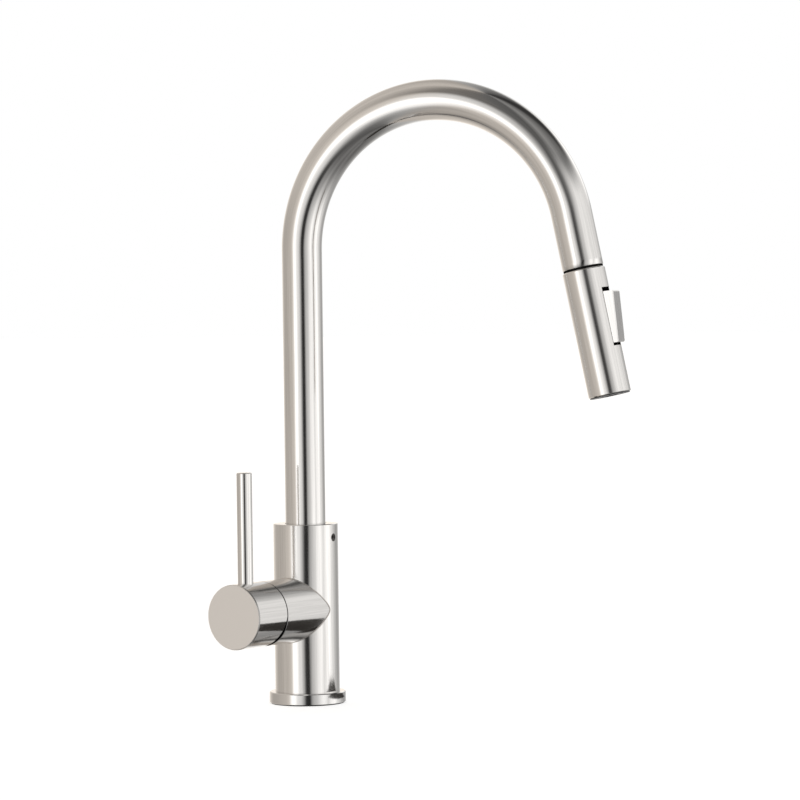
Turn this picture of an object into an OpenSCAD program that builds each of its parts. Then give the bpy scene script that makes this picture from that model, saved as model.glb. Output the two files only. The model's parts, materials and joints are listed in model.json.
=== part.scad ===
// Pull down kitchen faucet with a swivelling gooseneck spout, a side handle and a docking spray head.
// Millimetres, +Z up. Origin: centre of the deck hole on the deck's top face. The spout points along +X.

/* [Column and base] */
// Outside radius of the column
column_r = 20.5; // [18:0.1:26]
// Height of the column's top edge above the deck
column_top = 114; // [105:1:150]
// Outside radius of the base ring
ring_r = 24.3; // [22:0.1:32]
// Height of the base ring's top above the deck
ring_top = 7.5; // [5:0.5:12]
// Outside radius of the threaded shank
shank_r = 16.5; // [15:0.1:17]
// How far the shank reaches below the deck
shank_drop = 55; // [45:1:80]
// Thickness of the deck that is clamped
deck_t = 30; // [3:1:40]

/* [Spout] */
// Outside radius of the spout tube
tube_r = 12.7; // [11:0.1:15]
// Wall of the spout tube
tube_wall = 1.2; // [0.8:0.1:2]
// Height where the bend starts
bend_start = 287; // [200:1:350]
// Radius of the bend's centre line
bend_r = 92; // [70:1:120]
// How far round the bend goes, in degrees
bend_angle = 168; // [150:1:180]
// Straight stretch after the bend, down to the docking line
straight_end = 35; // [25:1:60]

/* [Handle] */
// Height of the handle's axis
handle_z = 60; // [45:1:80]
// How far the body is turned on the deck from square to the spout, in degrees
handle_turn = -12; // [-60:1:60]
// Outside radius of the side housing and the handle cap
handle_r = 20.3; // [18:0.1:24]
// Distance of the housing's end face from the column's axis
housing_end = 46.8; // [44:0.1:50]
// Distance of the cap's flat front from the column's axis
cap_front = 76; // [70:1:90]
// Radius of the lever rod
lever_r = 4.8; // [3:0.1:7]
// Height of the lever's top above the handle's axis
lever_top = 89; // [60:1:120]
// Distance of the lever's axis from the column's axis
lever_at = 63.3; // [58:0.1:70]
// How far the handle tilts outwards, in degrees
flow_tilt = 12; // [8:1:20]
// Distance of the tilt pivot from the column's axis
tilt_pivot = 39.5; // [36:0.5:42]

/* [Spray head] */
// Outside radius of the spray head
head_r = 13.2; // [12:0.1:16]
// Length of the spray head below the docking line
head_len = 79; // [70:1:110]
// Length of the rocker
rocker_len = 31.8; // [24:0.1:40]
// Width of the rocker
rocker_w = 12.4; // [8:0.1:13]
// Distance of the rocker's pin below the docking line
rocker_at = 31.7; // [28:0.1:40]
// How far the rocker leans at rest, in degrees
rocker_lean = 6; // [4:1:7]
// Outside radius of the spray hose
hose_r = 5.9; // [5:0.1:7]

/* [Hidden] */
$fn = 96;

edge = 0.4;
running = 0.05;
free = 0.35;

steel = [0.74, 0.71, 0.68];
bright = [0.82, 0.81, 0.80];
brass = [0.78, 0.62, 0.32];
black = [0.08, 0.08, 0.08];
white = [0.90, 0.90, 0.88];
ceramic = [0.94, 0.93, 0.90];
braid = [0.55, 0.56, 0.58];

// column and swivel socket
column_bore = 18;
collar_t = 3;
collar_r = 17;
socket_r = 16.5;
socket_floor = column_top - 21.5;
shoulder_r = 12.2;
foot_r = 15.5;
foot_bottom = socket_floor + 1.1;
foot_top = column_top - collar_t - 0.4;
lock_z = column_top - 8.6;
lock_turn = 5;
lock_r = 2.5;
spigot_top = ring_top + 6;
shank_bore = 14.5;
gasket_r = 23.3;
gasket_in = 18.5;
clamp_r = 26;

// handle axis: distances along it are from the column's axis
bore_r = 17.6;
seat = 21;
port_r = 2.8;
ports = [[-8, 4], [8, 4], [0, -8]];
seal_r = 4.6;
base_t = 4;
disc_t = 3;
film = 0.1;
shell_top = 43.5;
seam = housing_end + 0.5;
wedge_at = housing_end + 0.55;
cavity_end = 56;
stem_w = 7;
ball_at = tilt_pivot - 5.9;

// inlets and hose run, in the body's own frame with the handle towards -Y
inlet_x = 9;
inlet_y = -4;
inlet_r = 4.5;
block_low = 46;
block_high = 70;
outlet_y = -10;
hose_y = 8.4;
hose_bend = 60;
hose_bore = 3.8;
hose_swing = acos(1 - hose_y / (2 * hose_bend));
hose_turn_z = column_top - 2 * hose_bend * sin(hose_swing);

// docking line: the end of the spout, square to the tube
tube_bore = tube_r - tube_wall;
dock_x = bend_r - bend_r * cos(bend_angle) + straight_end * sin(bend_angle);
dock_z = bend_start + bend_r * sin(bend_angle) + straight_end * cos(bend_angle);
gasket_t = 1.1;
guide_r = 10.4;
step = 0.05;
end_bore = tube_bore - step;

// spray head: heights run down from the docking line, +X is the rocker's side
head_bore = 11.7;
shell_end = head_len - 0.6;
nose_r = 10.05;
journal_r = 8;
cavity_floor = 12;
core_end = 72;
pad_end = 74.5;
pin_x = 8;
pin_r = 1;
tray_x = 4.5;
tray_half = [18.95, 7.15];
slot_half = [18.2, 6.55];
spool_at = rocker_at + 10;
spool_r = 2.2;
spool_ports = [-7, -3.75, -0.5];
spool_groove_w = 0.9;
spool_grooves = [-8.4, -2.6, 2.4];
nozzle_rings = [[7.6, 9], [10.1, 15]];

// places the body's frame, turned on the deck
module in_body()
{
    rotate([0, 0, handle_turn])
    children();
}

// +Z runs out along the handle's axis, +Y is up
module on_handle()
{
    in_body()
    translate([0, 0, handle_z])
    rotate([90, 0, 0])
    children();
}

// +Z runs down the spray head from the docking line, +X faces away from the column
module on_head()
{
    translate([dock_x, 0, dock_z])
    rotate([0, bend_angle, 0])
    rotate([0, 0, 180])
    children();
}

module ring(ro, ri, z0, z1)
{
    translate([0, 0, z0])
    linear_extrude(height = z1 - z0)
    difference() {
        circle(r = ro);
        circle(r = ri);
    }
}

module rod(r, z0, z1)
{
    translate([0, 0, z0])
    cylinder(r = r, h = z1 - z0);
}

// a length of tube bent round the Z axis from angle a0 to a1
module bent_tube(radius, a0, a1, ro, ri)
{
    rotate_extrude(angle = a1 - a0, start = a0)
    translate([radius, 0])
    difference() {
        circle(r = ro);
        circle(r = ri);
    }
}

// the spout's bend for a tube of the given section
module spout_bend(ro, ri)
{
    translate([bend_r, 0, bend_start])
    rotate([90, 0, 0])
    bent_tube(bend_r, 180 - bend_angle, 180, ro, ri);
}

module at_lock_screw()
{
    in_body()
    translate([0, 0, lock_z])
    rotate([0, 0, lock_turn])
    rotate([0, 90, 0])
    children();
}

// ---------------------------------------------------------------- column and base

// machined column: socket for the spout at the top, opening for the cartridge at the side
module column_body()
{
    color(steel)
    difference() {
        rotate_extrude()
        polygon([
            [column_bore, ring_top], [column_r, ring_top],
            [column_r, column_top - edge], [column_r - edge, column_top],
            [collar_r, column_top], [collar_r, column_top - collar_t],
            [socket_r, column_top - collar_t], [socket_r, socket_floor],
            [shoulder_r, socket_floor], [shoulder_r, socket_floor - 2.5],
            [column_bore, socket_floor - 2.5]
        ]);
        on_handle()
        rod(bore_r, 0, column_r + 5);
        at_lock_screw()
        rod(lock_r, socket_r - 3, column_r + 5);
    }
}

// side branch welded to the column, bored for the cartridge and its nut
module side_housing()
{
    color(steel)
    difference() {
        on_handle()
        rotate_extrude()
        polygon([
            [0, 0], [handle_r, 0], [handle_r, housing_end - 0.3],
            [handle_r - 0.3, housing_end], [0, housing_end]
        ]);
        translate([0, 0, -1])
        cylinder(r = column_r, h = column_top + 2);
        on_handle()
        rod(bore_r, 0, housing_end + 1);
        on_handle()
        rod(bore_r + 0.9, shell_top - 2, housing_end + 1);
    }
}

// flush screwed collar that keeps the spout's foot in the column
module top_collar()
{
    color(steel)
    ring(collar_r, tube_r + 0.4, column_top - collar_t, column_top);
}

module lower_bush()
{
    color(white)
    ring(socket_r, foot_r + running, foot_bottom + 0.9, foot_bottom + 6.4);
}

module upper_bush()
{
    color(white)
    ring(socket_r, foot_r + running, foot_top - 2, column_top - collar_t);
}

// slip washer under the spout's foot
module spout_washer()
{
    color(white)
    ring(socket_r, shoulder_r + 0.2, socket_floor, foot_bottom - film);
}

// grub screw whose tip runs in the foot's groove
module lock_screw()
{
    color(bright)
    at_lock_screw()
    difference() {
        union() {
            rod(lock_r, socket_r + 0.2, column_r - 1.3);
            rod(1.6, foot_r - 1.35, socket_r + 0.2);
        }
        translate([0, 0, column_r - 3.3])
        cylinder(r = 1.4, h = 3, $fn = 6);
    }
}

// polished base ring with a spigot up into the column
module base_ring()
{
    color(bright)
    rotate_extrude()
    polygon([
        [shank_r, 0.6], [gasket_in, 0.6], [gasket_in, 2], [gasket_r, 2], [gasket_r, 0.6],
        [ring_r - 0.3, 0.6], [ring_r, 0.9], [ring_r, ring_top - 0.5], [ring_r - 0.5, ring_top],
        [column_bore, ring_top], [column_bore, spigot_top], [shank_r, spigot_top]
    ]);
}

module base_gasket()
{
    color(black)
    ring(gasket_r, gasket_in, 0, 2);
}

// brass shank with rings standing in for its thread
module shank()
{
    pitch = 2.5;
    turns = floor((shank_drop - 6) / pitch);
    color(brass)
    rotate_extrude()
    polygon(concat(
        [[shank_bore, spigot_top], [shank_bore, -shank_drop], [shank_r - 0.8, -shank_drop]],
        [for (i = [0 : turns - 1]) each [
            [shank_r - 0.8, -shank_drop + 1 + i * pitch],
            [shank_r, -shank_drop + 1 + (i + 0.5) * pitch]
        ]],
        [[shank_r - 0.8, -shank_drop + 1 + turns * pitch], [shank_r, -2], [shank_r, spigot_top]]
    ));
}

module rubber_washer()
{
    color(black)
    ring(clamp_r, shank_r + 0.3, -deck_t - 3.5, -deck_t);
}

module steel_washer()
{
    color(bright)
    ring(clamp_r, shank_r + 0.3, -deck_t - 5.5, -deck_t - 3.5);
}

module mounting_nut()
{
    color(brass)
    translate([0, 0, -deck_t - 13.5])
    difference() {
        cylinder(r = clamp_r - 2, h = 8, $fn = 6);
        translate([0, 0, -1])
        cylinder(r = shank_r, h = 10);
    }
}

// ---------------------------------------------------------------- valve and cartridge

// drills one hole through from each port's place
module port_holes(r, z0, z1)
{
    for (p = ports) {
        translate([p[0], p[1], 0])
        rod(r, z0, z1);
    }
}

// brass block: threaded inlets underneath, three ports facing the cartridge
module valve_block()
{
    color(brass)
    difference() {
        union() {
            in_body()
            intersection() {
                rod(column_bore - 0.5, block_low, block_high);
                translate([-column_bore, -15, block_low])
                cube([2 * column_bore, 17, block_high - block_low]);
            }
            on_handle()
            rod(bore_r, 14.5, seat);
        }
        in_body()
        for (side = [-1, 1]) {
            translate([side * inlet_x, inlet_y, 0])
            rod(inlet_r, block_low - 1, block_low + 12);
            translate([side * inlet_x, inlet_y, 0])
            rod(3, block_low, handle_z + 5.5);
        }
        in_body()
        translate([0, outlet_y, 0]) {
            rod(4.4, block_low - 1, block_low + 3.5);
            rod(3, block_low, handle_z - 6.5);
        }
        on_handle() {
            translate([ports[0][0], ports[0][1], 0])
            rod(port_r, -inlet_y, seat + 1);
            translate([ports[1][0], ports[1][1], 0])
            rod(port_r, -inlet_y, seat + 1);
            translate([ports[2][0], ports[2][1], 0])
            rod(port_r, -outlet_y, seat + 1);
        }
    }
}

// pipe that takes the mixed water down through the shank to a push-fit nipple
module outlet_pipe()
{
    nipple = -shank_drop - 2;
    color(brass)
    in_body()
    translate([0, outlet_y, 0])
    rotate_extrude()
    polygon([
        [3.2, block_low + 3.5], [3.2, nipple - 18], [4.4, nipple - 18], [5, nipple - 17.4],
        [5, nipple - 2], [4.4, nipple - 2], [4.4, block_low + 3.5]
    ]);
}

module port_seal(i)
{
    color(black)
    on_handle()
    translate([ports[i][0], ports[i][1], 0])
    ring(seal_r, 3.2, seat, seat + 1.2);
}

module hot_port_seal()
{
    port_seal(0);
}

module cold_port_seal()
{
    port_seal(1);
}

module outlet_port_seal()
{
    port_seal(2);
}

module cartridge_base()
{
    color(white)
    on_handle()
    difference() {
        rod(17.3, seat, seat + base_t);
        port_holes(port_r, seat - 1, seat + base_t + 1);
        port_holes(seal_r, seat - 1, seat + 1.2);
    }
}

module fixed_disc()
{
    color(ceramic)
    on_handle()
    difference() {
        rod(14, seat + base_t, seat + base_t + disc_t);
        port_holes(port_r, seat, seat + base_t + disc_t + 1);
    }
}

// can that holds the discs and guides the rotor
module cartridge_shell()
{
    bottom = seat + base_t;
    color(black)
    on_handle()
    rotate_extrude()
    polygon([
        [14, bottom], [17.3, bottom], [17.3, shell_top], [10.6, shell_top], [10.6, 42],
        [12.2 + running, 42], [12.2 + running, 34.5], [14.4, 34.5],
        [14.4, bottom + disc_t], [14, bottom + disc_t]
    ]);
}

module retaining_nut()
{
    color(black)
    on_handle()
    difference() {
        ring(bore_r + 0.9, 13, shell_top, housing_end - 0.4);
        for (a = [0 : 60 : 300]) {
            rotate([0, 0, a])
            translate([15.2, 0, shell_top + 1])
            cylinder(r = 1.3, h = 4);
        }
    }
}

// turns with the lever about the handle's axis and carries the tilt pin
module cartridge_rotor()
{
    color(white)
    on_handle()
    difference() {
        union() {
            rod(12.2, 34.9, 41.6);
            rod(10.2, 41.6, housing_end + 0.2);
        }
        translate([-stem_w / 2 - free, -6.5, 30])
        cube([stem_w + 2 * free, 13, 20]);
        translate([0, 0, tilt_pivot])
        rotate([0, 90, 0])
        rod(1.2, -11, 11);
    }
}

module pivot_pin()
{
    color(bright)
    on_handle()
    translate([0, 0, tilt_pivot])
    rotate([0, 90, 0])
    rod(1.2, -11, 11);
}

// slides over the fixed disc as the handle tilts
module moving_disc()
{
    bottom = seat + base_t + disc_t + film;
    color(ceramic)
    on_handle()
    difference() {
        rod(11.5, bottom, bottom + disc_t);
        rod(7, bottom - 1, bottom + 1.6);
    }
}

module disc_carrier()
{
    bottom = seat + base_t + 2 * disc_t + film;
    color(white)
    on_handle()
    difference() {
        rod(12, bottom, 34.3);
        rod(2.4, bottom - 1, 35);
    }
}

// ---------------------------------------------------------------- handle

// square stem on the pivot pin, with a ball that drives the disc carrier
module stem()
{
    color(bright)
    on_handle()
    difference() {
        union() {
            translate([-stem_w / 2, -stem_w / 2, tilt_pivot - 2.5])
            cube([stem_w, stem_w, 66 - tilt_pivot + 2.5]);
            rod(1.6, ball_at, tilt_pivot - 2);
            translate([0, 0, ball_at])
            sphere(r = 2);
        }
        translate([0, 0, tilt_pivot])
        rotate([0, 90, 0])
        rod(1.2 + running, -5, 5);
    }
}

// cap turned from bar, its lower back edge cut away so that it can tilt outwards
module handle_cap()
{
    color(steel)
    on_handle()
    difference() {
        rotate_extrude()
        polygon([
            [bore_r, seam], [handle_r - 0.3, seam], [handle_r, seam + 0.3],
            [handle_r, cap_front - 0.6], [handle_r - 0.6, cap_front], [0, cap_front],
            [0, cavity_end], [bore_r, cavity_end]
        ]);
        translate([0, 0, wedge_at])
        rotate([-flow_tilt, 0, 0])
        translate([-30, -40, -20])
        cube([60, 40, 20]);
        translate([-stem_w / 2, -stem_w / 2, cavity_end - 1])
        cube([stem_w, stem_w, 11]);
        translate([0, 0, lever_at])
        rotate([-90, 0, 0])
        rod(lever_r, 12, handle_r + 1);
        translate([0, 0, lever_at - 2.5])
        rotate([90, 0, 0])
        rod(2.5, 0, handle_r + 1);
    }
}

module lever_rod()
{
    color(steel)
    on_handle()
    translate([0, 0, lever_at])
    rotate([-90, 0, 0])
    rotate_extrude()
    polygon([
        [0, 12], [lever_r, 12], [lever_r, lever_top - 0.4], [lever_r - 0.4, lever_top],
        [0, lever_top]
    ]);
}

// grub screw that clamps the cap on the stem, reached from below
module handle_screw()
{
    color(bright)
    on_handle()
    translate([0, 0, lever_at - 2.5])
    rotate([90, 0, 0])
    difference() {
        rod(2.5, stem_w / 2, 11);
        translate([0, 0, 8.5])
        cylinder(r = 1.4, h = 4, $fn = 6);
    }
}

// ---------------------------------------------------------------- spout

// one tube: upright, bend and a straight end that is a hair thicker where it was sized for the dock
module spout_tube()
{
    color(steel)
    union() {
        ring(tube_r, tube_bore, foot_bottom, bend_start);
        spout_bend(tube_r, tube_bore);
        on_head()
        ring(tube_r + step, end_bore, -straight_end - 0.5, -gasket_t);
    }
}

// brass foot brazed round the tube, grooved for the lock screw
module spout_foot()
{
    color(brass)
    rotate_extrude()
    polygon([
        [tube_r, foot_bottom], [foot_r, foot_bottom], [foot_r, lock_z - 2.4],
        [foot_r - 1.7, lock_z - 2.4], [foot_r - 1.7, lock_z + 2.4], [foot_r, lock_z + 2.4],
        [foot_r, foot_top], [tube_r, foot_top]
    ]);
}

// liner in the spout's end that guides the spray head home
module dock_insert()
{
    color(black)
    on_head()
    rotate_extrude()
    polygon([
        [7.6, -18], [end_bore, -18], [end_bore, 0], [guide_r + 0.5, 0], [guide_r, -1],
        [guide_r, -15], [7.6, -15]
    ]);
}

module dock_gasket()
{
    color(black)
    on_head()
    ring(tube_r - 0.4, end_bore, -gasket_t, 0);
}

// ---------------------------------------------------------------- spray hose

// from the swivel down past the valve block and out below the shank
module hose_in_body()
{
    color(braid)
    in_body()
    union() {
        rotate([90, 0, 90]) {
            translate([hose_bend, column_top])
            bent_tube(hose_bend, 180, 180.5 + hose_swing, hose_r, hose_bore);
            translate([hose_y - hose_bend, hose_turn_z])
            bent_tube(hose_bend, 0, hose_swing, hose_r - step, hose_bore + step);
        }
        translate([0, hose_y, 0])
        ring(hose_r, hose_bore, -shank_drop - 17, hose_turn_z + 0.5);
    }
}

// crimped tail with the thread that goes to the outlet's connector
module hose_tail()
{
    low = -shank_drop - 31;
    color(brass)
    in_body()
    translate([0, hose_y, 0])
    rotate_extrude()
    polygon([
        [4, low], [6.2, low], [6.6, low + 0.4], [6.6, low + 10], [8, low + 10], [8, low + 14],
        [7.2, low + 14], [7.2, low + 26], [hose_r, low + 26], [hose_r, low + 14], [4, low + 14]
    ]);
}

module hose_in_spout()
{
    color(braid)
    union() {
        ring(hose_r, hose_bore, column_top, bend_start);
        spout_bend(hose_r, hose_bore);
    }
}

module hose_end()
{
    color(braid)
    on_head()
    ring(hose_r, hose_bore, -straight_end + film, -4);
}

module hose_ferrule()
{
    color(bright)
    on_head()
    ring(7.2, hose_r, -20, -4);
}

// swivel coupling that the spray head turns on
module hose_coupling()
{
    color(brass)
    on_head()
    rotate_extrude()
    polygon([
        [4, -4], [journal_r, -4], [journal_r, 7.4], [9.3, 7.4], [9.3, 10.2], [4, 10.2]
    ]);
}

module check_valve()
{
    color(white)
    on_head()
    ring(4, 1.8, 3, 10.2);
}

// ---------------------------------------------------------------- spray head

// steel sleeve with the slot for the rocker
module spray_shell()
{
    color(steel)
    on_head()
    difference() {
        rotate_extrude()
        polygon([
            [head_bore, free], [head_r - 0.6, free], [head_r, free + 0.6],
            [head_r, shell_end - 0.4], [head_r - 0.4, shell_end], [head_bore, shell_end]
        ]);
        translate([tray_x, -slot_half[1], rocker_at - slot_half[0]])
        cube([15, 2 * slot_half[1], 2 * slot_half[0]]);
    }
}

// screwed nose that slides into the dock and retains the coupling
module core_nose()
{
    color(black)
    on_head()
    rotate_extrude()
    polygon([
        [journal_r + 0.5, -9], [nose_r - 0.8, -9], [nose_r, -8.2], [nose_r, 0.7],
        [head_bore, 0.7], [head_bore, 4], [10.7, 4], [10.7, 7], [journal_r + running, 7],
        [journal_r + running, 1], [journal_r + 0.5, 1]
    ]);
}

// plastic body with the waterways, the spool's bore and the rocker's pocket
module head_core()
{
    color(white)
    on_head()
    difference() {
        rod(head_bore, 4, core_end);
        rod(10.7, 3, 7);
        rod(9.9, 6, cavity_floor);
        translate([spool_ports[1], 0, 0])
        rod(2.2, cavity_floor - 1, spool_at - 3.7);
        translate([spool_ports[1], 0, 0])
        rod(1.3, cavity_floor, spool_at);
        translate([spool_ports[0], 0, 0])
        rod(1.3, spool_at, core_end - 3);
        translate([spool_ports[2], 0, 0])
        rod(1.3, spool_at, core_end - 10);
        translate([0, 0, spool_at])
        rotate([0, 90, 0])
        rod(spool_r + running, -10.5, tray_x + 1);
        translate([tray_x, -tray_half[1], rocker_at - tray_half[0]])
        cube([15, 2 * tray_half[1], 2 * tray_half[0]]);
        translate([pin_x, 0, rocker_at])
        rotate([90, 0, 0])
        rod(pin_r, -7.6, 7.6);
        ring(10.4, 6.8, core_end - 6, core_end + 1);
        rod(5.2, core_end - 12, core_end + 1);
    }
}

module coupling_seal()
{
    color(black)
    on_head()
    ring(8.8, 5, 10.5, cavity_floor);
}

// black tray behind the rocker
module rocker_tray()
{
    color(black)
    on_head()
    difference() {
        translate([tray_x, -tray_half[1], rocker_at - tray_half[0]])
        cube([4.7, 2 * tray_half[1], 2 * tray_half[0]]);
        translate([tray_x + 0.7, -slot_half[1], rocker_at - slot_half[0]])
        cube([15, 2 * slot_half[1], 2 * slot_half[0]]);
        translate([0, 0, spool_at])
        rotate([0, 90, 0])
        rod(spool_r + 0.4, 0, 10);
        translate([pin_x, 0, rocker_at])
        rotate([90, 0, 0])
        rod(pin_r, -7.6, 7.6);
    }
}

module rocker_pin()
{
    color(bright)
    on_head()
    translate([pin_x, 0, rocker_at])
    rotate([90, 0, 0])
    rod(pin_r, -7.6, 7.6);
}

// places something once for each spray nozzle
module at_nozzles()
{
    for (r = nozzle_rings) {
        for (i = [0 : r[1] - 1]) {
            rotate([0, 0, i * 360 / r[1]])
            translate([r[0], 0, 0])
            children();
        }
    }
}

// rubber pad with one soft nozzle for each jet
module nozzle_pad()
{
    color(black)
    on_head()
    difference() {
        union() {
            ring(head_bore, 5.2, core_end, pad_end);
            at_nozzles()
            rod(0.8, pad_end - 1, head_len - 0.3);
        }
        at_nozzles()
        rod(0.35, core_end - 1, head_len);
    }
}

module face_plate()
{
    color(black)
    on_head()
    difference() {
        union() {
            rod(head_bore, pad_end, shell_end);
            rod(head_r - 0.8, shell_end, head_len);
        }
        rod(5.2, pad_end - 1, head_len + 1);
        at_nozzles()
        rod(0.85, pad_end - 1, head_len + 1);
    }
}

// cup with a perforated screen at each end
module aerator()
{
    top = core_end - 10;
    bottom = head_len - 0.5;
    color(white)
    on_head()
    difference() {
        rod(5.2, top, bottom);
        rod(4.3, top + 1, bottom - 1.2);
        for (x = [-2.4 : 1.6 : 2.4]) {
            for (y = [-2.4 : 1.6 : 2.4]) {
                translate([x - 0.55, y - 0.55, top - 1])
                cube([1.1, 1.1, bottom - top + 2]);
            }
        }
    }
}

// ---------------------------------------------------------------- rocker and diverter

// two-position rocker, drawn leaning with its upper end out
module rocker_button()
{
    half = rocker_len / 2;
    wide = rocker_w / 2;
    color(steel)
    on_head()
    translate([pin_x, 0, rocker_at])
    rotate([0, -rocker_lean, 0])
    difference() {
        union() {
            intersection() {
                rotate([90, 0, 0])
                linear_extrude(height = rocker_w, center = true)
                polygon([
                    [1.8, -half + 0.6], [2.4, -half], [7.6, -half], [8.4, -half + 0.8],
                    [8.4, half - 0.8], [7.6, half], [2.4, half], [1.8, half - 0.6]
                ]);
                linear_extrude(height = rocker_len, center = true)
                polygon([
                    [1.8, -wide], [7.8, -wide], [8.4, -wide + 0.6],
                    [8.4, wide - 0.6], [7.8, wide], [1.8, wide]
                ]);
            }
            rotate([90, 0, 0])
            rod(2.4, -4.9, 4.9);
            translate([0, -4.9, -2.4])
            cube([2.4, 9.8, 4.8]);
        }
        rotate([90, 0, 0])
        rod(pin_r + running, -6, 6);
    }
}

module on_spool()
{
    on_head()
    translate([0, 0, spool_at])
    rotate([0, 90, 0])
    children();
}

// spool with a waist that joins the inlet to one outlet at a time
module diverter_spool()
{
    waist = [-6.8, -3];
    color(white)
    on_spool()
    difference() {
        union() {
            rod(spool_r, -9.2, waist[0]);
            rod(1.3, waist[0], waist[1]);
            rod(spool_r, waist[1], 5.5);
            rod(1.2, 5.5, 8.2);
        }
        for (x = spool_grooves) {
            ring(spool_r + 1, 1.5, x, x + spool_groove_w);
        }
    }
}

module spool_seal(i)
{
    color(black)
    on_spool()
    ring(spool_r, 1.5, spool_grooves[i], spool_grooves[i] + spool_groove_w);
}

module spool_seal_inner()
{
    spool_seal(0);
}

module spool_seal_middle()
{
    spool_seal(1);
}

module spool_seal_outer()
{
    spool_seal(2);
}

column_body();
side_housing();
top_collar();
lower_bush();
upper_bush();
spout_washer();
lock_screw();
base_ring();
base_gasket();
shank();
rubber_washer();
steel_washer();
mounting_nut();
valve_block();
outlet_pipe();
hot_port_seal();
cold_port_seal();
outlet_port_seal();
cartridge_base();
fixed_disc();
cartridge_shell();
retaining_nut();
hose_in_body();
hose_tail();
cartridge_rotor();
pivot_pin();
moving_disc();
disc_carrier();
stem();
handle_cap();
lever_rod();
handle_screw();
spout_tube();
spout_foot();
dock_insert();
dock_gasket();
hose_in_spout();
hose_end();
hose_ferrule();
hose_coupling();
check_valve();
spray_shell();
core_nose();
head_core();
coupling_seal();
rocker_tray();
rocker_pin();
nozzle_pad();
face_plate();
aerator();
rocker_button();
diverter_spool();
spool_seal_inner();
spool_seal_middle();
spool_seal_outer();
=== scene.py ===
"""Pull down kitchen faucet: brushed steel column, side handle, swivelling gooseneck and spray head.

Metres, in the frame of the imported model: +Z up, origin in the middle of the deck hole, spout along +X.
"""
import json
import math

import bpy
import numpy as np
from mathutils import Matrix, Vector


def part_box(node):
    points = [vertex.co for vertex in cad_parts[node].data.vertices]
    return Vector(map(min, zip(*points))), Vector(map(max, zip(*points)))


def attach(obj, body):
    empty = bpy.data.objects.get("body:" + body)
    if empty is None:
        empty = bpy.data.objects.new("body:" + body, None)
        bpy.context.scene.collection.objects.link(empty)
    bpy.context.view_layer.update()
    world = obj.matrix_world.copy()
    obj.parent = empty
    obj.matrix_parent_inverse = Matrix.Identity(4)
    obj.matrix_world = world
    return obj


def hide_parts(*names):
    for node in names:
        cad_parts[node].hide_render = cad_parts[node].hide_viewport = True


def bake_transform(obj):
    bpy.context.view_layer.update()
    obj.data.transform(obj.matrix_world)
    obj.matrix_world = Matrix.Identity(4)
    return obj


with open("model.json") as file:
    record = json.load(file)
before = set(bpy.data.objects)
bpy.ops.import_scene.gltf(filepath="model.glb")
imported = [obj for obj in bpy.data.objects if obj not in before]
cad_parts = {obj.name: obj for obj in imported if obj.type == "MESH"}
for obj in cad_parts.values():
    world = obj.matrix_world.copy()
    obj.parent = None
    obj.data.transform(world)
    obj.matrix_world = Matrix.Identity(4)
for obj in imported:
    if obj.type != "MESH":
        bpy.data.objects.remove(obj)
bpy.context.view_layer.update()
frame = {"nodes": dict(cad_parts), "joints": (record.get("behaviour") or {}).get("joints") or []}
joints = {joint["name"]: joint for joint in frame["joints"]}


# ---------------------------------------------------------------- camera
# A long lens stands 2.27 m away, a little above the middle of the faucet, and looks slightly down.
# It stands square to neither the spout nor the handle, so the handle comes forward to the left.

camera_stand = Vector((0.9412, -2.0645, 0.2559))
look_turn = math.radians(22.97)
look_down = math.radians(1.63)
camera_roll = math.radians(0.72)

ahead = Vector((-math.sin(look_turn), math.cos(look_turn), 0.0))
across = Vector((math.cos(look_turn), math.sin(look_turn), 0.0))
upright = ahead * math.sin(look_down) + Vector((0, 0, 1)) * math.cos(look_down)
ahead = ahead * math.cos(look_down) - Vector((0, 0, 1)) * math.sin(look_down)
right = across * math.cos(camera_roll) - upright * math.sin(camera_roll)
top = across * math.sin(camera_roll) + upright * math.cos(camera_roll)

camera_data = bpy.data.cameras.new("camera")
camera_data.sensor_width = 36.0
camera_data.lens = 161.1
camera_data.clip_start = 0.05
camera_data.clip_end = 50.0
camera = bpy.data.objects.new("camera", camera_data)
facing = Matrix((right, top, -ahead)).transposed().to_4x4()
camera.matrix_world = Matrix.Translation(camera_stand) @ facing
bpy.context.scene.collection.objects.link(camera)
bpy.context.scene.camera = camera
bpy.context.scene.view_settings.view_transform = "Standard"


# ---------------------------------------------------------------- studio
# The room round the faucet: a soft tent lit in broad panels, with a black slot where the camera
# looks in. Polished metal shows little but its room, so the panels make the bands on the steel.


def add_node(tree, kind, **settings):
    """A new node with its settings and, by socket name, its fixed inputs."""
    node = tree.nodes.new(kind)
    for name, value in settings.items():
        if hasattr(node, name):
            setattr(node, name, value)
        else:
            node.inputs[name.replace("_", " ").capitalize()].default_value = value
    return node


def calc(tree, operation, first, second=None):
    """One step of arithmetic on one or two operands, each a socket or a number."""
    step = tree.nodes.new("ShaderNodeMath")
    step.operation = operation
    for socket, value in zip(step.inputs, (first, second)):
        if isinstance(value, (int, float)):
            socket.default_value = value
        elif value is not None:
            tree.links.new(value, socket)
    return step.outputs[0]


def ramp(tree, factor, stops):
    """A colour ramp over stops of (place, grey or colour)."""
    node = tree.nodes.new("ShaderNodeValToRGB")
    tree.links.new(factor, node.inputs["Fac"])
    marks = node.color_ramp.elements
    while len(marks) < len(stops):
        marks.new(0.5)
    for mark, (place, colour) in zip(marks, stops):
        if not isinstance(colour, tuple):
            colour = (colour, colour, colour)
        mark.position = place
        mark.color = (*colour, 1.0)
    return node.outputs["Color"]


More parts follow.
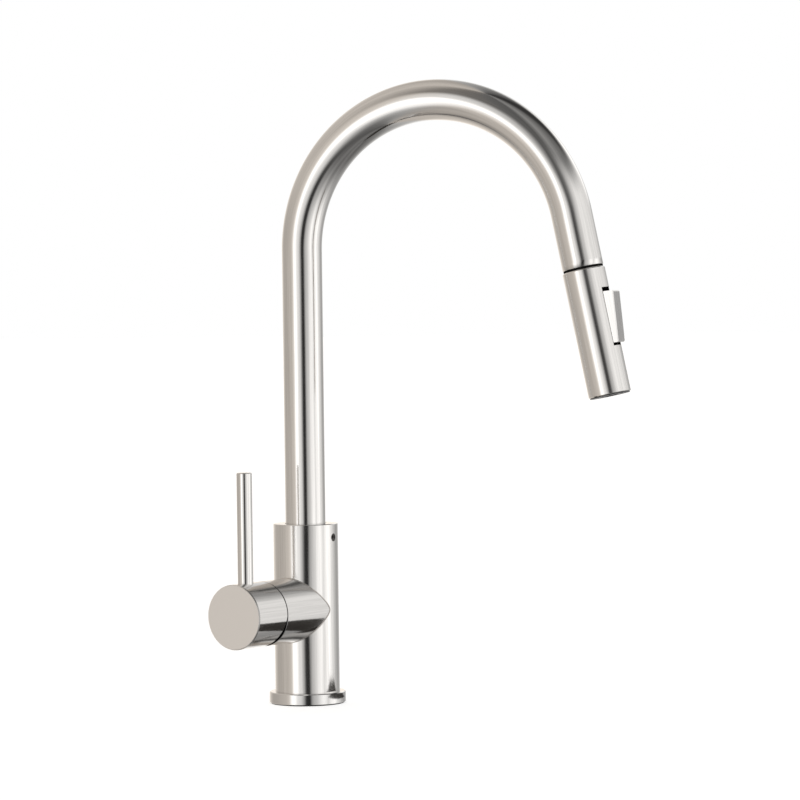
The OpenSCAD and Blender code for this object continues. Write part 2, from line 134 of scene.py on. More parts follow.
def blend_colours(tree, factor, first, second):
    """The first colour where factor is 0 and the second where it is 1."""
    mix = tree.nodes.new("ShaderNodeMix")
    mix.data_type = "RGBA"
    for socket, value in ((mix.inputs[0], factor), (mix.inputs[6], first), (mix.inputs[7], second)):
        if isinstance(value, tuple):
            socket.default_value = (*value, 1.0)
        elif isinstance(value, (int, float)):
            socket.default_value = value
        else:
            tree.links.new(value, socket)
    return mix.outputs[2]


def smooth_step(tree, value, low, high):
    """0 below low, 1 above high and an even curve between."""
    step = tree.nodes.new("ShaderNodeMapRange")
    step.interpolation_type = "SMOOTHSTEP"
    tree.links.new(value, step.inputs["Value"])
    step.inputs["From Min"].default_value = low
    step.inputs["From Max"].default_value = high
    return step.outputs["Result"]


def warm(level):
    """A panel of this level under a warm lamp."""
    return (level, level * 0.925, level * 0.845)


def plain(level):
    """A panel of this level under a lamp that is only just warm."""
    return (level, level * 0.99, level * 0.975)


def round_the_tent(panels):
    """Ramp stops from (degrees to the right of the camera, level) pairs; the left side is warmer."""
    warm_side = -50
    stops = []
    for degrees, level in panels:
        tint = warm if degrees < warm_side else plain
        stops.append(((degrees + 180) / 360, tint(level)))
    return stops


waist_panels = [
    (-180, 0.58), (-162, 0.50), (-150, 0.42), (-138, 0.32), (-126, 0.265), (-102, 0.275),
    (-78, 0.315), (-66, 0.34), (-56, 0.42), (-47, 0.80), (-38, 0.80), (-29, 0.55), (-18, 0.46),
    (-10, 0.24), (-3, 0.02), (9, 0.012), (14, 0.20), (20, 0.31), (30, 0.39), (42, 0.59),
    (50, 0.68), (58, 0.63), (66, 0.48), (76, 0.66), (91, 0.74), (102, 0.53), (114, 0.42),
    (126, 0.29), (138, 0.22), (150, 0.24), (165, 0.36), (180, 0.58),
]
shoulder_panels = [
    (-180, 0.42), (-150, 0.38), (-126, 0.32), (-100, 0.31), (-78, 0.33), (-54, 0.41), (-42, 0.47),
    (-30, 0.355), (-18, 0.18), (-6, 0.055), (6, 0.11), (18, 0.28), (30, 0.40), (42, 0.51),
    (54, 0.555), (66, 0.52), (90, 0.49), (110, 0.46), (126, 0.52), (138, 0.68), (150, 0.70),
    (160, 0.54), (170, 0.38), (180, 0.42),
]
roof_panels = [
    (-180, 0.24), (-135, 0.33), (-96, 0.32), (-70, 0.23), (-52, 0.12), (-20, 0.075), (5, 0.06),
    (36, 0.16), (66, 0.115), (96, 0.075), (112, 0.03), (126, 0.02), (142, 0.022), (160, 0.10),
    (180, 0.24),
]
pit_panels = [
    (-180, 0.30), (-145, 0.35), (-127, 0.22), (-115, 0.13), (-103, 0.19), (-90, 0.27),
    (-72, 0.25), (-42, 0.20), (-20, 0.09), (5, 0.055), (48, 0.11), (68, 0.08), (92, 0.12),
    (115, 0.065), (135, 0.11), (150, 0.13), (180, 0.30),
]

studio = bpy.data.worlds.new("studio")
studio.use_nodes = True
tent = studio.node_tree
tent.nodes.clear()
look = add_node(tent, "ShaderNodeTexCoord").outputs["Generated"]
from_camera = add_node(tent, "ShaderNodeMapping", vector_type="POINT")
from_camera.inputs["Rotation"].default_value[2] = math.pi / 2 - look_turn
tent.links.new(look, from_camera.inputs["Vector"])
compass = add_node(tent, "ShaderNodeSeparateXYZ")
tent.links.new(from_camera.outputs["Vector"], compass.inputs["Vector"])
bearing = calc(tent, "ARCTAN2", compass.outputs["Y"], compass.outputs["X"])
turn = calc(tent, "ADD", calc(tent, "DIVIDE", bearing, 2 * math.pi), 0.5)

# height is the sine of the slope of the look, and each tier of panels fades into the next over it
height = compass.outputs["Z"]
raised = smooth_step(tent, height, 0.08, 0.30)
above = smooth_step(tent, height, 0.40, 0.69)
below = smooth_step(tent, calc(tent, "MULTIPLY", height, -1.0), 0.20, 0.84)
waist = ramp(tent, turn, round_the_tent(waist_panels))
walls = blend_colours(tent, raised, waist, ramp(tent, turn, round_the_tent(shoulder_panels)))
walls = blend_colours(tent, above, walls, ramp(tent, turn, round_the_tent(roof_panels)))
walls = blend_colours(tent, below, walls, ramp(tent, turn, round_the_tent(pit_panels)))
lit_tent = add_node(tent, "ShaderNodeBackground", Strength=2.0)
tent.links.new(walls, lit_tent.inputs["Color"])
backdrop = add_node(tent, "ShaderNodeBackground", Strength=1.0)
backdrop.inputs["Color"].default_value = (1.0, 1.0, 1.0, 1.0)
seen = add_node(tent, "ShaderNodeLightPath").outputs["Is Camera Ray"]
either = add_node(tent, "ShaderNodeMixShader")
tent.links.new(seen, either.inputs[0])
tent.links.new(lit_tent.outputs[0], either.inputs[1])
tent.links.new(backdrop.outputs[0], either.inputs[2])
world_out = add_node(tent, "ShaderNodeOutputWorld")
tent.links.new(either.outputs[0], world_out.inputs["Surface"])
bpy.context.scene.world = studio


# ---------------------------------------------------------------- floor
# A plain white table top at deck height, lit from within so that it meets the backdrop unseen.
# The steel reflects the tent below it instead, and a dark card beyond the column, seen in reflections
# only, paints a dark reflection on it.

floor_half = 20.0


def stage_sheet(name, corners, material):
    """A flat four-cornered sheet for the set."""
    mesh = bpy.data.meshes.new(name)
    mesh.from_pydata(corners, [], [(0, 1, 2, 3)])
    mesh.materials.append(material)
    sheet = bpy.data.objects.new(name, mesh)
    bpy.context.scene.collection.objects.link(sheet)
    return sheet


def new_finish(name):
    """A new material with its node tree and its shader."""
    material = bpy.data.materials.new(name)
    material.use_nodes = True
    return material, material.node_tree, material.node_tree.nodes["Principled BSDF"]


def plain_finish(name, colour, roughness=1.0, glow=0.0):
    """A matte finish for the set, which may be lit from within."""
    material, _, shader = new_finish(name)
    shader.inputs["Base Color"].default_value = (*colour, 1.0)
    shader.inputs["Roughness"].default_value = roughness
    shader.inputs["Emission Color"].default_value = (1.0, 1.0, 1.0, 1.0)
    shader.inputs["Emission Strength"].default_value = glow
    return material


floor_corners = [
    (-floor_half, -floor_half, 0.0), (floor_half, -floor_half, 0.0),
    (floor_half, floor_half, 0.0), (-floor_half, floor_half, 0.0),
]
white_table = plain_finish("white_table", (0.9, 0.9, 0.9), glow=0.66)
floor = stage_sheet("floor", floor_corners, white_table)
floor.visible_glossy = False

card_middle = Vector((0.092, 0.040, 0.0004))
card_along = Vector((0.045, 0.0294, 0.0))
card_wide = Vector((-0.0174, 0.0269, 0.0))
card_corners = [
    card_middle - card_along - card_wide, card_middle + card_along - card_wide,
    card_middle + card_along + card_wide, card_middle - card_along + card_wide,
]
# a dark sheet that only glossy rays see: a painted dark reflection on the steel near the floor
card = stage_sheet("dark_card", card_corners, plain_finish("painted_dark_reflection", (0.06, 0.055, 0.05)))
card.visible_camera = False
card.visible_diffuse = False
card.visible_shadow = False


# ---------------------------------------------------------------- column and side branch
# Stainless steel turned from tube, with the side branch welded in and bored for the cartridge.
# Both are finished lengthways on a belt, which leaves fine hairlines along each axis.

branch_way = Vector(joints["temperature"]["axis"])
branch_height = joints["temperature"]["pos_m"][2]
branch_lie = (math.pi / 2, 0.0, math.radians(-12))
branch_face = 0.04668


def place_on(tree, laid=None):
    """Where each point is: in the piece's own frame, or in the attribute that holds it laid straight."""
    if laid:
        return add_node(tree, "ShaderNodeAttribute", attribute_name=laid).outputs["Vector"]
    return add_node(tree, "ShaderNodeTexCoord").outputs["Object"]


def placed(tree, place, **settings):
    """The same places in a frame that is moved, turned or stretched by these settings."""
    mapping = add_node(tree, "ShaderNodeMapping", vector_type="TEXTURE", **settings)
    tree.links.new(place, mapping.inputs["Vector"])
    return mapping.outputs["Vector"]


def noise_on(tree, place, scale, detail, roughness):
    """Cloudy noise from 0 to 1, with about scale clouds to each metre of place."""
    cloud = add_node(tree, "ShaderNodeTexNoise", Scale=scale, Detail=detail, Roughness=roughness)
    tree.links.new(place, cloud.inputs["Vector"])
    return cloud.outputs["Fac"]


def raise_relief(tree, shader, height, strength, distance):
    """Bump on the shader, this many metres from the height's 0 to its 1."""
    relief = add_node(tree, "ShaderNodeBump", Strength=strength, Distance=distance)
    tree.links.new(height, relief.inputs["Height"])
    tree.links.new(relief.outputs["Normal"], shader.inputs["Normal"])


def brushed_steel(name, lie=(0.0, 0.0, 0.0), tone=(0.735, 0.722, 0.708), polish=0.11, laid=None):
    """Belt-finished stainless steel. lie turns the pattern so that its hairlines run along the
    piece, or laid names the attribute that holds a bent piece laid straight."""
    material, tree, shader = new_finish(name)
    shader.inputs["Metallic"].default_value = 1.0
    place = place_on(tree, laid)

    def streaks_of(width, length, detail):
        """Noise drawn out lengthways into streaks of this width and length, in metres."""
        drawn_out = placed(tree, place, Rotation=lie, Scale=(width, width, length))
        return noise_on(tree, drawn_out, 1.0, detail, 0.6)

    hairlines = streaks_of(0.00022, 0.016, 4.0)
    strokes = streaks_of(0.0013, 0.075, 3.0)
    handling = streaks_of(0.021, 0.034, 2.0)

    rough = tree.nodes.new("ShaderNodeMapRange")
    tree.links.new(hairlines, rough.inputs["Value"])
    rough.inputs["From Min"].default_value = 0.3
    rough.inputs["From Max"].default_value = 0.7
    rough.inputs["To Min"].default_value = polish - 0.03
    rough.inputs["To Max"].default_value = polish + 0.04
    smear = calc(tree, "MULTIPLY", calc(tree, "SUBTRACT", handling, 0.5), 0.06)
    tree.links.new(calc(tree, "ADD", rough.outputs["Result"], smear), shader.inputs["Roughness"])

    pale = tuple(min(1.0, part * 1.045) for part in tone)
    dull = tuple(part * 0.945 for part in tone)
    streaks = calc(tree, "ADD", calc(tree, "MULTIPLY", hairlines, 0.4), strokes)
    spread = smooth_step(tree, streaks, 0.55, 0.85)
    tree.links.new(blend_colours(tree, spread, dull, pale), shader.inputs["Base Color"])

    grooves = calc(tree, "ADD", hairlines, calc(tree, "MULTIPLY", strokes, 1.5))
    raise_relief(tree, shader, grooves, 0.12, 0.00002)
    return material


def coat(material, *names):
    """Gives CAD nodes this finish in every slot that they have."""
    for name in names:
        for slot in frame["nodes"][name].material_slots:
            slot.material = material


def faced(material, way, start, tone, roughness):
    """A second tone and roughness on whatever of the piece lies beyond start, measured along way: a
    satin finish on faces that the belt doesn't reach, and near-black painted shade on faces in shadow.
    Only a piece's first such face loses the relief of the hairlines."""
    edge = 0.0001
    tree = material.node_tree
    shader = tree.nodes["Principled BSDF"]
    measure = add_node(tree, "ShaderNodeVectorMath", operation="DOT_PRODUCT")
    tree.links.new(place_on(tree), measure.inputs[0])
    measure.inputs[1].default_value = way
    beyond = smooth_step(tree, measure.outputs["Value"], start - edge, start + edge)
    short_of = calc(tree, "SUBTRACT", 1.0, beyond)
    belt_tone = shader.inputs["Base Color"].links[0].from_socket
    tree.links.new(blend_colours(tree, beyond, belt_tone, tone), shader.inputs["Base Color"])
    belt_rough = shader.inputs["Roughness"].links[0].from_socket
    kept = calc(tree, "MULTIPLY", short_of, belt_rough)
    changed = calc(tree, "MULTIPLY", beyond, roughness)
    tree.links.new(calc(tree, "ADD", kept, changed), shader.inputs["Roughness"])
    relief = shader.inputs["Normal"].links[0].from_node
    if not relief.inputs["Strength"].is_linked:
        depth = relief.inputs["Strength"].default_value
        tree.links.new(calc(tree, "MULTIPLY", short_of, depth), relief.inputs["Strength"])


coat(brushed_steel("steel_column"), "column_body", "top_collar")
branch_steel = brushed_steel("steel_branch", branch_lie)
# the branch's end face, seen through the cap's slanted cut, is painted near black: painted shade inside
# the cap
faced(branch_steel, branch_way, branch_face, (0.02, 0.02, 0.02), 0.5)
coat(branch_steel, "side_housing")


# ---------------------------------------------------------------- weld round the branch
# The fusion weld where the branch meets the column, dressed down to a line under a millimetre wide.
# It follows the curve where the two cylinders cross, with a small round section.

column_r = 0.0205
branch_r = 0.0203
weld_r = 0.00042


def circle_steps(count):
    """Angles once round a circle in count equal steps, without the last, which is the first again."""
    return np.linspace(0, 2 * math.pi, count, endpoint=False)


def new_piece(name, points, faces, body, material):
    """A smooth piece from its points and faces, which rides on its body where it is given one."""
    mesh = bpy.data.meshes.new(name)
    mesh.from_pydata(points.tolist(), [], faces)
    mesh.polygons.foreach_set("use_smooth", np.ones(len(faces), dtype=bool))
    mesh.materials.append(material)
    piece = bpy.data.objects.new(name, mesh)
    bpy.context.scene.collection.objects.link(piece)
    if body:
        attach(piece, body)
    return piece


def closed_skin(name, rings, body, material, straight=None):
    """A piece from a grid of points (row, step round, xyz) whose rows and rings both close up.
    Neighbours in the grid share an edge, so the skin has no border, and it is turned to face out
    if the volume inside it comes out negative. straight, a grid of the same shape, is kept as an
    attribute: where each point would be if the piece were laid straight."""
    rows, steps = rings.shape[:2]
    row = np.arange(rows)[:, None]
    step = np.arange(steps)[None, :]
    here, there = row * steps, (row + 1) % rows * steps
    following = (step + 1) % steps
    quads = np.stack([here + step, here + following, there + following, there + step], axis=-1)
    quads = quads.reshape(-1, 4)
    points = rings.reshape(-1, 3)
    a, b, c, d = (points[quads[:, k]] for k in range(4))
    volume = np.einsum("ij,ij->", a, np.cross(b, c)) + np.einsum("ij,ij->", a, np.cross(c, d))
    if volume < 0:
        quads = quads[:, ::-1]
    piece = new_piece(name, points, quads.tolist(), body, material)
    if straight is not None:
        laid = piece.data.attributes.new("laid_straight", "FLOAT_VECTOR", "POINT")
        laid.data.foreach_set("vector", straight.reshape(-1))
    return piece


def unit(vectors):
    """The same directions with length one."""
    return vectors / np.linalg.norm(vectors, axis=-1, keepdims=True)


# each point is branch_r out from the branch's axis, and as far along it as the column's side is
branch_side = np.array((-branch_way.y, branch_way.x, 0.0))
round_branch = circle_steps(240)[:, None]
side_way = branch_side * np.cos(round_branch) + np.array((0, 0, 1)) * np.sin(round_branch)
reach = np.sqrt(column_r**2 - (branch_r * np.cos(round_branch)) ** 2)
weld_line = branch_r * side_way + reach * np.array(branch_way) + np.array((0, 0, branch_height))
weld_way = unit(np.roll(weld_line, -1, axis=0) - np.roll(weld_line, 1, axis=0))
column_way = unit(weld_line * np.array((1, 1, 0)))
weld_out = unit(side_way + column_way)
weld_side = unit(np.cross(weld_way, weld_out))
round_section = circle_steps(12)[None, :, None]
weld_rings = weld_line[:, None] + weld_r * (
    weld_out[:, None] * np.cos(round_section) + weld_side[:, None] * np.sin(round_section)
)
weld_steel = brushed_steel("steel_weld", tone=(0.66, 0.63, 0.60), polish=0.24)
closed_skin("branch_weld", weld_rings, "faucet_body", weld_steel)


# ---------------------------------------------------------------- base ring
# A stainless ring turned and buffed bright, which covers the deck hole. A rubber gasket sits in its
# underside, and its spigot goes up into the column.


def buffed_steel(name, tone=(0.70, 0.69, 0.68), polish=0.085):
    """Steel buffed on a wheel: nearly mirror bright, with faint swirls and finger haze."""
    material, tree, shader = new_finish(name)
    shader.inputs["Metallic"].default_value = 1.0
    place = place_on(tree)
    haze = noise_on(tree, place, 90.0, 3.0, 0.55)
    swirl = noise_on(tree, place, 1400.0, 2.0, 0.5)
    swirl.node.inputs["Distortion"].default_value = 1.2
    haze_level = calc(tree, "MULTIPLY", calc(tree, "SUBTRACT", haze, 0.45), 0.10)
    swirl_level = calc(tree, "MULTIPLY", swirl, 0.03)
    rough = calc(tree, "ADD", calc(tree, "ADD", haze_level, swirl_level), polish - 0.015)
    tree.links.new(rough, shader.inputs["Roughness"])
    dull = tuple(part * 0.96 for part in tone)
    tree.links.new(blend_colours(tree, haze, tone, dull), shader.inputs["Base Color"])
    raise_relief(tree, shader, swirl, 0.08, 0.00001)
    return material


def moulded(name, tone, roughness, grain_size, relief_depth, mottle=0.12, glaze=0.0):
    """Rubber, plastic or ceramic: one tone with a slight mottle and a fine moulded grain."""
    material, tree, shader = new_finish(name)
    shader.inputs["Coat Weight"].default_value = glaze
    place = place_on(tree)
    grain = noise_on(tree, place, 1.0 / grain_size, 3.0, 0.6)
    cloud = noise_on(tree, place, 70.0, 2.0, 0.5)
    pale = tuple(min(1.0, part * (1 + mottle) + 0.004) for part in tone)
    deep = tuple(part * (1 - mottle) for part in tone)
    even = calc(tree, "MULTIPLY", calc(tree, "ADD", grain, cloud), 0.5)
    tree.links.new(blend_colours(tree, even, deep, pale), shader.inputs["Base Color"])
    rough = calc(tree, "ADD", calc(tree, "MULTIPLY", cloud, 0.16), roughness - 0.08)
    tree.links.new(rough, shader.inputs["Roughness"])
    raise_relief(tree, shader, grain, 0.3, relief_depth)
    return material


bright_steel = buffed_steel("steel_buffed")
black_rubber = moulded("black_rubber", (0.022, 0.022, 0.023), 0.62, 0.0004, 0.00003)
coat(bright_steel, "base_ring")
coat(black_rubber, "base_gasket")


# ---------------------------------------------------------------- shank and clamping parts
# Brass shank with a 1.5 mm thread, soldered into the base ring. Under the deck a rubber washer, a
# zinc-plated steel washer and a brass nut pull the faucet down.


def machined_brass(name, tone=(0.70, 0.52, 0.25)):
    """Brass off the lathe: bright, with fine feed lines and a little brown where it was handled."""
    material, tree, shader = new_finish(name)
    shader.inputs["Metallic"].default_value = 1.0
    place = place_on(tree)
    feed = noise_on(tree, placed(tree, place, Scale=(0.012, 0.012, 0.00018)), 1.0, 3.0, 0.6)
    patch = smooth_step(tree, noise_on(tree, place, 55.0, 5.0, 0.65), 0.48, 0.72)
    brown = tuple(part * shade for part, shade in zip(tone, (0.72, 0.64, 0.55)))
    tree.links.new(blend_colours(tree, patch, tone, brown), shader.inputs["Base Color"])
    rough = calc(tree, "ADD", calc(tree, "MULTIPLY", feed, 0.14), 0.17)
    rough = calc(tree, "ADD", rough, calc(tree, "MULTIPLY", patch, 0.16))
    tree.links.new(rough, shader.inputs["Roughness"])
    raise_relief(tree, shader, feed, 0.25, 0.00002)
    return material


brass = machined_brass("brass_turned")

shank_r = 0.0165
shank_bore = 0.0145
thread_pitch = 0.0015
thread_depth = 0.0008
thread_fade = 0.003
shank_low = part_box("shank")[0].z
shank_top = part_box("shank")[1].z
thread_top = -0.002

# Rows run up the outside and down the bore. The thread is a flat-topped ridge in height less
# pitch times turn, and it fades out over thread_fade at both ends.
climb = np.concatenate([
    np.array([shank_low, shank_low + 0.0004]),
    np.linspace(shank_low + 0.001, thread_top, 281),
    np.array([thread_top + 0.0012, shank_top - 0.0004, shank_top]),
])
fall = np.linspace(shank_top, shank_low, 12)
along, around = np.meshgrid(climb, circle_steps(96), indexing="ij")
phase = (along / thread_pitch - around / (2 * math.pi)) % 1.0
crest = np.clip(1.6 - 3.2 * np.abs(phase - 0.5), 0.0, 1.0)
lead_in = np.clip((along - shank_low) / thread_fade, 0.0, 1.0)
run_out = np.clip((thread_top - along) / thread_fade, 0.0, 1.0)
cut_r = shank_r - thread_depth * (1 - crest * (lead_in * run_out))
thread_r = np.where(along < thread_top, cut_r, shank_r)
bore_along, bore_around = np.meshgrid(fall, circle_steps(96), indexing="ij")
ring_along = np.concatenate([along, bore_along])
ring_around = np.concatenate([around, bore_around])
ring_r = np.concatenate([thread_r, np.full_like(bore_along, shank_bore)])
shank_rings = np.stack([
    ring_r * np.cos(ring_around), ring_r * np.sin(ring_around), ring_along
], axis=-1)
closed_skin("threaded_shank", shank_rings, "faucet_body", brass)
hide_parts("shank")

coat(brass, "mounting_nut")
coat(black_rubber, "rubber_washer")
coat(buffed_steel("zinc_plate", (0.70, 0.72, 0.74), 0.26), "steel_washer")


# ---------------------------------------------------------------- valve block and cartridge
# A brass block behind the cartridge takes the two supplies and sends the mixed water down a brass
# pipe. The cartridge is acetal, with two lapped ceramic discs, a black shell and rubber seals.

coat(brass, "valve_block", "outlet_pipe")
coat(black_rubber, "hot_port_seal", "cold_port_seal", "outlet_port_seal")

acetal = moulded("white_acetal", (0.80, 0.79, 0.755), 0.42, 0.0007, 0.00002, mottle=0.03)
black_plastic = moulded("black_plastic", (0.024, 0.024, 0.025), 0.38, 0.0005, 0.00002)
ceramic = moulded(
    "lapped_ceramic", (0.86, 0.84, 0.79), 0.20, 0.0003, 0.000004, mottle=0.02, glaze=0.4
)
coat(acetal, "cartridge_base", "cartridge_rotor", "disc_carrier")
coat(black_plastic, "cartridge_shell", "retaining_nut")
coat(ceramic, "fixed_disc", "moving_disc")
coat(bright_steel, "pivot_pin")


# ---------------------------------------------------------------- handle
# A steel cap turned from bar and clamped on the square stem, with a rod lever pressed into it. The
# rim and rod are belt finished along their axes, and the flat front is left satin.

coat(bright_steel, "stem", "handle_screw")
cap_steel = brushed_steel("steel_cap", branch_lie)
cap_front = 0.0757
cap_cut = 0.04745
faced(cap_steel, branch_way, cap_front, (0.86, 0.845, 0.83), 0.34)

# the slanted cut at the cap's back, which lets it tilt, is painted near black: painted shade where it
# lies in shadow
cut_slope = math.tan(math.radians(12))
cut_way = -branch_way - cut_slope * Vector((0, 0, 1))
faced(cap_steel, cut_way, -cap_cut - cut_slope * branch_height, (0.03, 0.03, 0.03), 0.5)
coat(cap_steel, "handle_cap")

lever_r = 0.0048
foot_bevel = 0.0003
top_round = 0.0007
lever_low, lever_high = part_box("lever_rod")[0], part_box("lever_rod")[1]
lever_middle = (lever_low + lever_high) / 2

# the flat foot with its bevel, the rod's side, a rounded rim and the flat top
rim = np.linspace(0, math.pi / 2, 9)[1:]
rod_heights = np.concatenate([
    [lever_low.z, lever_low.z],
    np.linspace(lever_low.z + foot_bevel, lever_high.z - top_round, 30),
    lever_high.z - top_round + top_round * np.sin(rim),
    [lever_high.z],
])
rod_radii = np.concatenate([
    [0.0, lever_r - foot_bevel],
    np.full(30, lever_r),
    lever_r - top_round + top_round * np.cos(rim),
    [0.0],
])


def turned_piece(name, heights, radii, middle, body, material):
    """A solid turned about an upright axis: each row is a ring of the given height and radius, and
    the first and last rows close on the axis in one point each."""
    steps = 64
    angle = circle_steps(steps)
    inner = slice(1, len(heights) - 1)
    ring = np.stack([
        middle.x + radii[inner, None] * np.cos(angle),
        middle.y + radii[inner, None] * np.sin(angle),
        heights[inner, None] + 0 * angle,
    ], axis=-1)
    rows = ring.shape[0]
    row = np.arange(rows - 1)[:, None] * steps
    step = np.arange(steps)[None, :]
    following = (step + 1) % steps
    sides = np.stack([row + step, row + following, row + steps + following, row + steps + step], axis=-1)
    foot, tip = rows * steps, rows * steps + 1
    last = (rows - 1) * steps
    base_fan = np.stack([following[0], step[0], np.full(steps, foot)], axis=-1)
    tip_fan = np.stack([last + step[0], last + following[0], np.full(steps, tip)], axis=-1)
    ends = np.array([(middle.x, middle.y, heights[0]), (middle.x, middle.y, heights[-1])])
    points = np.concatenate([ring.reshape(-1, 3), ends])
    faces = sides.reshape(-1, 4).tolist() + base_fan.tolist() + tip_fan.tolist()
    piece = new_piece(name, points, faces, body, material)
    piece.data.set_sharp_from_angle(angle=math.radians(40))
    return piece


rod_steel = brushed_steel("steel_lever", polish=0.10)
lever = turned_piece(
    "lever", rod_heights, rod_radii, lever_middle, "handle", rod_steel
)
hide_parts("lever_rod")


# ---------------------------------------------------------------- gooseneck
# One length of 25.4 mm stainless tube bent through 168 degrees, with the belt finish following the
# bend. Its end is dressed square for the spray head's dock.

tube_r = 0.0127
tube_bore = 0.0115
bend_r = 0.092
bend_start = 0.287
bend_angle = math.radians(168)
dock = np.array(joints["head_spin"]["pos_m"])
tube_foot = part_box("spout_tube")[0].z
gasket_t = 0.0011
bend_end = np.array((
    bend_r - bend_r * math.cos(bend_angle), 0, bend_start + bend_r * math.sin(bend_angle)
))
straight_end = np.linalg.norm(dock - bend_end)
rise = bend_start - tube_foot
bend_length = bend_r * bend_angle
tube_length = rise + bend_length + straight_end - gasket_t


def along_spout(distance):
    """Centre line of the spout and the way out of the bend, at each distance from the foot: straight
    up, round an arc of bend_r, then straight on to the dock."""
    turned = np.clip((distance - rise) / bend_r, 0.0, bend_angle)
    run_on = np.clip(distance - rise - bend_length, 0.0, None)
    low = np.minimum(distance, rise) - rise
    outward = np.stack([-np.cos(turned), 0 * turned, np.sin(turned)], axis=-1)
    onward = np.stack([np.sin(turned), 0 * turned, np.cos(turned)], axis=-1)
    middle = np.array((bend_r, 0, bend_start)) + bend_r * outward
    middle = middle + run_on[:, None] * onward + low[:, None] * np.array((0, 0, 1))
    return middle, outward


def swept_tube(distances, radii, steps):
    """Rings round the spout's centre line, and the same rings laid straight up the Z axis. Each ring
    is the centre plus its radius times (cos angle outward + sin angle sideways)."""
    middle, outward = along_spout(distances)
    angle = circle_steps(steps)
    sideways = np.array((0.0, 1.0, 0.0))
    circle = np.cos(angle)[None, :, None] * outward[:, None] + np.sin(angle)[None, :, None] * sideways
    rings = middle[:, None] + radii[:, None, None] * circle
    flat = np.stack([
        radii[:, None] * np.cos(angle), radii[:, None] * np.sin(angle), distances[:, None] + 0 * angle
    ], axis=-1)
    return rings, flat


lip = 0.00018
outer_run = np.concatenate([
    [0.0, lip], np.linspace(0.006, rise, 24), rise + np.linspace(0.0, bend_length, 150)[1:],
    rise + bend_length + np.linspace(0.004, straight_end - gasket_t - lip, 9), [tube_length],
])
outer_radii = np.full(len(outer_run), tube_r)
outer_radii[[0, -1]] -= lip
inner_run = outer_run[::-1]
inner_radii = np.full(len(inner_run), tube_bore)
tube_rings, tube_laid = swept_tube(
    np.concatenate([outer_run, inner_run]), np.concatenate([outer_radii, inner_radii]), 96
)
tube_steel = brushed_steel("steel_gooseneck", polish=0.115, laid="laid_straight")
gooseneck = closed_skin("gooseneck", tube_rings, "spout", tube_steel, tube_laid)
gooseneck.data.set_sharp_from_angle(angle=math.radians(50))
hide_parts("spout_tube")


# ---------------------------------------------------------------- swivel in the column
# A brass foot brazed round the tube turns in two acetal bushes and is kept down by the collar. The
# point of a steel grub screw runs in its groove.

coat(brass, "spout_foot")
coat(acetal, "lower_bush", "upper_bush", "spout_washer")
coat(buffed_steel("steel_grub_screw", (0.42, 0.41, 0.40), 0.22), "lock_screw")


# ---------------------------------------------------------------- dock
# A black plastic liner in the tube's end guides the spray head home, and a thin black gasket on
# the tube's rim takes up the last of the gap.

coat(black_plastic, "dock_insert")
black_gasket = moulded("black_gasket", (0.004, 0.004, 0.004), 0.85, 0.0004, 0.00002)
black_gasket.node_tree.nodes["Principled BSDF"].inputs["Specular IOR Level"].default_value = 0.1
coat(black_gasket, "dock_gasket")


# ---------------------------------------------------------------- spray hose
# A hose in grey braided nylon, 11.8 mm across. It comes up through the column, follows the spout
# and ends in a crimped steel ferrule.

hose_r = 0.0059
hose_bore = 0.0038
head_turn = (math.pi, math.radians(-12), 0.0)


def braided_nylon(name, centre=(0, 0, 0), lie=(0, 0, 0), laid=None):
    """Two sets of nylon strands wound opposite ways round the axis through centre, which lie turns.
    Each strand is a crest of a sine in angle plus or minus height, and the higher one lies on top;
    the colour darkens from crest to gap as painted shade between the strands.
    laid is the attribute that holds the hose laid straight, where it has one."""
    strand_count = 14.0
    strand_rise = 0.0026
    material, tree, shader = new_finish(name)
    place = place_on(tree, laid)
    from_axis = add_node(tree, "ShaderNodeSeparateXYZ")
    tree.links.new(placed(tree, place, Location=centre, Rotation=lie), from_axis.inputs["Vector"])
    angle = calc(tree, "ARCTAN2", from_axis.outputs["Y"], from_axis.outputs["X"])
    wound = calc(tree, "MULTIPLY", angle, strand_count)
    rising = calc(tree, "MULTIPLY", from_axis.outputs["Z"], 2 * math.pi / strand_rise)
    one_way = calc(tree, "SINE", calc(tree, "ADD", wound, rising))
    other_way = calc(tree, "SINE", calc(tree, "SUBTRACT", wound, rising))
    strand = smooth_step(tree, calc(tree, "MAXIMUM", one_way, other_way), -0.4, 1.0)
    fuzz = noise_on(tree, place, 2600.0, 2.0, 0.6)
    # colour by strand height, with fibre fuzz: painted shade in the gaps between the strands
    strand_shade_and_fuzz = calc(tree, "ADD", strand, calc(tree, "MULTIPLY", fuzz, 0.35))
    grey = [(0.0, 0.035), (0.45, 0.20), (1.0, 0.40)]
    nylon = ramp(tree, calc(tree, "MULTIPLY", strand_shade_and_fuzz, 0.75), grey)
    tree.links.new(nylon, shader.inputs["Base Color"])
    rough = calc(tree, "SUBTRACT", 0.72, calc(tree, "MULTIPLY", strand, 0.26))
    tree.links.new(rough, shader.inputs["Roughness"])
    raise_relief(tree, shader, strand, 0.8, 0.00025)
    return material


hose_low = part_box("hose_in_spout")[0].z
ferrule_top = 0.004
overlap = 0.0001

# the length of the spout's centre line from its foot to the dock
full_run = rise + bend_length + straight_end


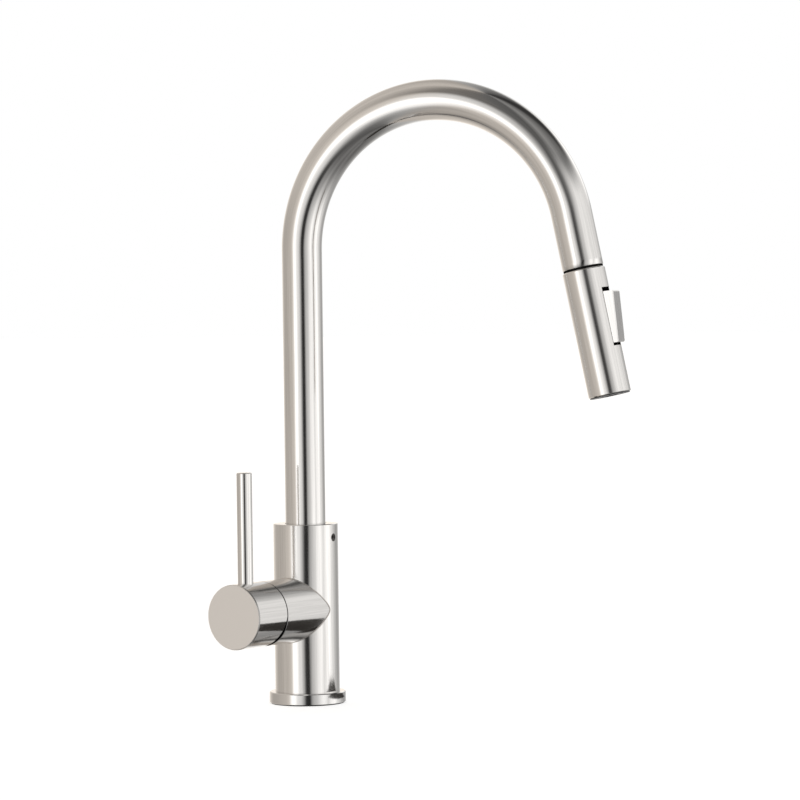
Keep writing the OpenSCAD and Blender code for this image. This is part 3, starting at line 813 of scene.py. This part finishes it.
def hose_length(name, run, body, material):
    """The hose's wall along this run of the spout's centre line, closed over both ends."""
    there_and_back = np.concatenate([run, run[::-1]])
    wall = np.repeat((hose_r, hose_bore), len(run))
    rings, laid = swept_tube(there_and_back, wall, 48)
    return closed_skin(name, rings, body, material, laid)


bend_run = np.concatenate([
    np.linspace(hose_low - tube_foot, rise, 12), rise + np.linspace(0.0, bend_length, 90)[1:]
])
bend_braid = braided_nylon("nylon_braid_bend", laid="laid_straight")
hose_in_bend = hose_length("hose_in_bend", bend_run, "spout", bend_braid)
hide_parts("hose_in_spout")

drawn_run = full_run - np.linspace(straight_end - overlap, ferrule_top, 90)
head_braid = braided_nylon("nylon_braid_head", tuple(dock), head_turn)
hose_to_head = hose_length("hose_to_head", drawn_run, None, head_braid)
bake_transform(hose_to_head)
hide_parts("hose_end")

tail_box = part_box("hose_tail")
tail_middle = (tail_box[0] + tail_box[1]) / 2
column_braid = braided_nylon("nylon_braid_column", (tail_middle.x, tail_middle.y, 0.0))
coat(column_braid, "hose_in_body")
coat(brass, "hose_tail", "hose_coupling")
coat(bright_steel, "hose_ferrule")
coat(acetal, "check_valve")


# ---------------------------------------------------------------- spray head
# A drawn steel sleeve over a plastic body. The black nose slides into the dock, and the face has
# soft rubber jets round a screened aerator.

coat(brushed_steel("steel_sleeve", head_turn), "spray_shell")
coat(black_plastic, "core_nose", "face_plate")
coat(acetal, "head_core", "aerator")
coat(black_rubber, "coupling_seal")
coat(moulded("grey_silicone", (0.10, 0.10, 0.105), 0.50, 0.0003, 0.00001), "nozzle_pad")


# ---------------------------------------------------------------- rocker and diverter
# The two-position rocker is a pressed steel cover on a plastic lever, in a black tray. Under it, an
# acetal spool with three rubber rings sends the water to the jets or to the aerator.

rocker_steel = brushed_steel("steel_rocker", head_turn, (0.70, 0.69, 0.68), 0.18)
coat(rocker_steel, "rocker_button")
coat(black_gasket, "rocker_tray")
coat(bright_steel, "rocker_pin")
coat(acetal, "diverter_spool")
coat(black_rubber, "spool_seal_inner", "spool_seal_middle", "spool_seal_outer")
